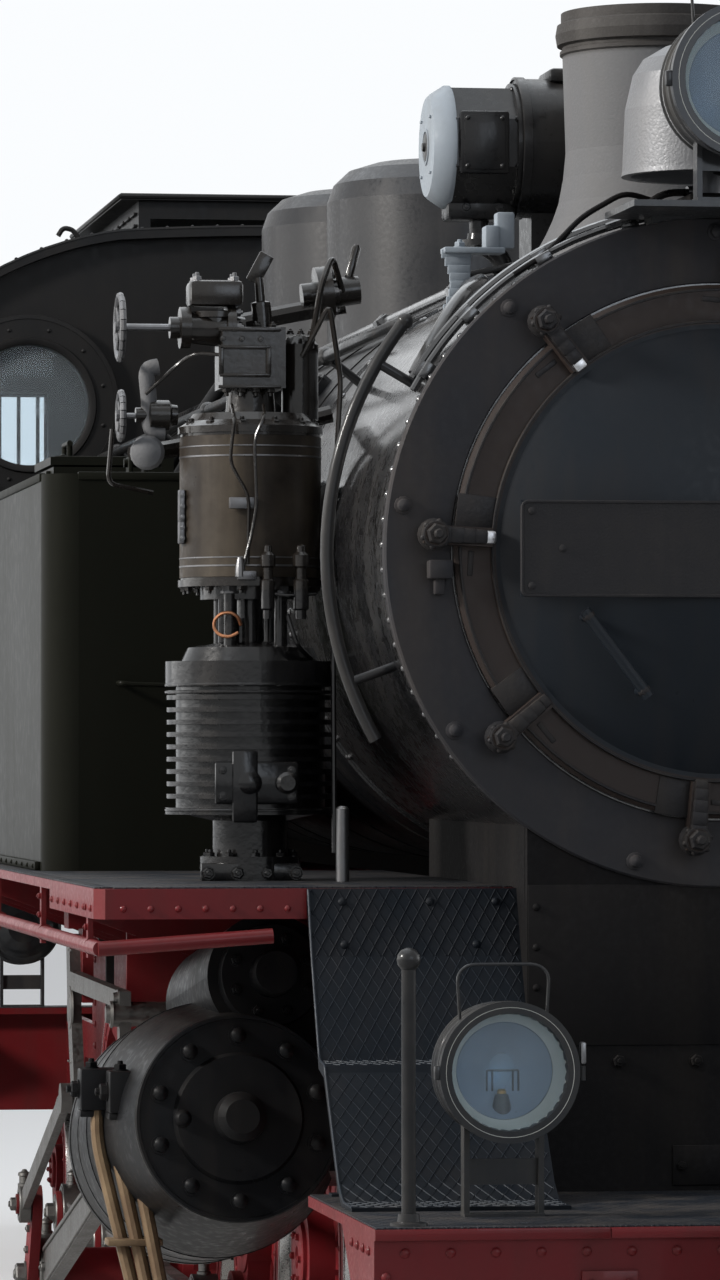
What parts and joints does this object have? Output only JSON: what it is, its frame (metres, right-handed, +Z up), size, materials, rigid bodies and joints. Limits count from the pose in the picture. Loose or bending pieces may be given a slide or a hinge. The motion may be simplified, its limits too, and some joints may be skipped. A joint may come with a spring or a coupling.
{
  "type": "steam locomotive",
  "caption": "Narrow-gauge side-tank steam locomotive with ten coupled wheels, outside cylinders, cab and bunker.",
  "frame": {"origin": "middle of the length over couplers, on the centre line, at the lowest point of the wheel flanges", "axes": "+X to the front (smokebox), +Y to the left side, +Z up"},
  "size_m": [12.5, 2.784, 3.722],
  "materials": {
    "black_paint": "satin black paint",
    "smokebox_paint": "heat-dulled black paint",
    "red_paint": "satin red paint",
    "motion_steel": "oily machined steel",
    "cast_black": "black cast iron",
    "coal_black": "broken coal",
    "wood_floor": "worn planks"
  },
  "bodies": {
    "frame": {"main_frame": "red_paint", "axle_boxes": "red_paint", "buffer_beams": "red_paint", "couplers": "cast_black", "lead_truck": "red_paint", "trail_truck": "red_paint", "cylinder_blocks": "black_paint", "crossheads": "motion_steel", "motion_brackets": "red_paint", "valve_gear": "motion_steel", "brake_gear": "cast_black", "saddle": "black_paint", "smokebox": "smokebox_paint", "boiler": "black_paint", "firebox": "cast_black", "chimney": "smokebox_paint", "domes": "black_paint", "turbo_generator": "black_paint", "bell": "cast_black", "tank_right": "black_paint", "tank_left": "black_paint", "running_boards": "red_paint", "front_steps": "black_paint", "cab_front": "black_paint", "cab_side_right": "black_paint", "cab_side_left": "black_paint", "cab_rear": "black_paint", "cab_roof": "black_paint", "cab_floor": "wood_floor", "bunker": "black_paint", "coal": "coal_black", "air_pump": "cast_black", "lamps": "black_paint", "handrails": "black_paint", "cab_fittings": "cast_black", "cab_steps": "black_paint"},
    "wheelset_1": {"wheelset_1": "red_paint"},
    "wheelset_2": {"wheelset_2": "red_paint"},
    "wheelset_3": {"wheelset_3": "red_paint"},
    "wheelset_4": {"wheelset_4": "red_paint"},
    "wheelset_5": {"wheelset_5": "red_paint"},
    "wheelset_lead": {"wheelset_lead": "red_paint"},
    "wheelset_trail": {"wheelset_trail": "red_paint"},
    "coupling_rod_right": {"coupling_rod_right": "motion_steel"},
    "main_rod_right": {"main_rod_right": "motion_steel"},
    "eccentric_rod_right": {"eccentric_rod_right": "motion_steel"},
    "tank_lid_right": {"tank_lid_right": "black_paint"},
    "cab_door_right": {"cab_door_right": "black_paint"},
    "coupling_rod_left": {"coupling_rod_left": "motion_steel"},
    "main_rod_left": {"main_rod_left": "motion_steel"},
    "eccentric_rod_left": {"eccentric_rod_left": "motion_steel"},
    "tank_lid_left": {"tank_lid_left": "black_paint"},
    "cab_door_left": {"cab_door_left": "black_paint"},
    "smokebox_door": {"smokebox_door": "smokebox_paint"}
  },
  "joints": [
    {"name": "driven_axle_turn", "type": "hinge", "parent": "frame", "child": "wheelset_3", "pos_m": [0, 0, 0.528], "axis": [0, 1, 0], "continuous": true},
    {"name": "coupled_axle_1_turn", "type": "hinge", "parent": "frame", "child": "wheelset_1", "pos_m": [2.45, 0, 0.528], "axis": [0, 1, 0], "continuous": true},
    {"name": "coupled_axle_2_turn", "type": "hinge", "parent": "frame", "child": "wheelset_2", "pos_m": [1.225, 0, 0.528], "axis": [0, 1, 0], "continuous": true},
    {"name": "coupled_axle_4_turn", "type": "hinge", "parent": "frame", "child": "wheelset_4", "pos_m": [-1.225, 0, 0.528], "axis": [0, 1, 0], "continuous": true},
    {"name": "coupled_axle_5_turn", "type": "hinge", "parent": "frame", "child": "wheelset_5", "pos_m": [-2.45, 0, 0.528], "axis": [0, 1, 0], "continuous": true},
    {"name": "lead_axle_turn", "type": "hinge", "parent": "frame", "child": "wheelset_lead", "pos_m": [4.35, 0, 0.303], "axis": [0, 1, 0], "continuous": true},
    {"name": "trail_axle_turn", "type": "hinge", "parent": "frame", "child": "wheelset_trail", "pos_m": [-4.35, 0, 0.303], "axis": [0, 1, 0], "continuous": true},
    {"name": "coupling_rod_right_pin", "type": "hinge", "parent": "wheelset_3", "child": "coupling_rod_right", "pos_m": [-0.05198, -0.725, 0.28346], "axis": [0, 1, 0], "continuous": true},
    {"name": "main_rod_right_pin", "type": "hinge", "parent": "wheelset_3", "child": "main_rod_right", "pos_m": [-0.05198, -1.0475, 0.28346], "axis": [0, 1, 0], "continuous": true},
    {"name": "eccentric_rod_right_pin", "type": "hinge", "parent": "wheelset_3", "child": "eccentric_rod_right", "pos_m": [0.11249, -1.13, 0.50409], "axis": [0, 1, 0], "continuous": true},
    {"name": "coupling_rod_left_pin", "type": "hinge", "parent": "wheelset_3", "child": "coupling_rod_left", "pos_m": [-0.24454, 0.725, 0.57998], "axis": [0, 1, 0], "continuous": true},
    {"name": "main_rod_left_pin", "type": "hinge", "parent": "wheelset_3", "child": "main_rod_left", "pos_m": [-0.24454, 1.0475, 0.57998], "axis": [0, 1, 0], "continuous": true},
    {"name": "eccentric_rod_left_pin", "type": "hinge", "parent": "wheelset_3", "child": "eccentric_rod_left", "pos_m": [-0.02391, 1.13, 0.41551], "axis": [0, 1, 0], "continuous": true},
    {"name": "smokebox_door_swing", "type": "hinge", "parent": "frame", "child": "smokebox_door", "pos_m": [4.775, 0.69, 2.288], "axis": [0, 0, 1], "range_deg": [0, 110]},
    {"name": "tank_lid_right_lift", "type": "hinge", "parent": "frame", "child": "tank_lid_right", "pos_m": [1.41, -0.88, 2.63], "axis": [-1, 0, 0], "range_deg": [0, 90]},
    {"name": "cab_door_right_swing", "type": "hinge", "parent": "frame", "child": "cab_door_right", "pos_m": [-3.248, -1.326, 2.28], "axis": [0, 0, 1], "range_deg": [0, 90]},
    {"name": "tank_lid_left_lift", "type": "hinge", "parent": "frame", "child": "tank_lid_left", "pos_m": [1.41, 0.88, 2.63], "axis": [1, 0, 0], "range_deg": [0, 90]},
    {"name": "cab_door_left_swing", "type": "hinge", "parent": "frame", "child": "cab_door_left", "pos_m": [-3.248, 1.326, 2.28], "axis": [0, 0, -1], "range_deg": [0, 90]}
  ],
  "couplings": [
    {"joint": "coupled_axle_1_turn", "follows": "driven_axle_turn", "ratio": 1},
    {"joint": "coupled_axle_2_turn", "follows": "driven_axle_turn", "ratio": 1},
    {"joint": "coupled_axle_4_turn", "follows": "driven_axle_turn", "ratio": 1},
    {"joint": "coupled_axle_5_turn", "follows": "driven_axle_turn", "ratio": 1},
    {"joint": "coupling_rod_right_pin", "follows": "driven_axle_turn", "ratio": -1},
    {"joint": "main_rod_right_pin", "follows": "driven_axle_turn", "ratio": -1},
    {"joint": "eccentric_rod_right_pin", "follows": "driven_axle_turn", "ratio": -1},
    {"joint": "coupling_rod_left_pin", "follows": "driven_axle_turn", "ratio": -1},
    {"joint": "main_rod_left_pin", "follows": "driven_axle_turn", "ratio": -1},
    {"joint": "eccentric_rod_left_pin", "follows": "driven_axle_turn", "ratio": -1}
  ]
}
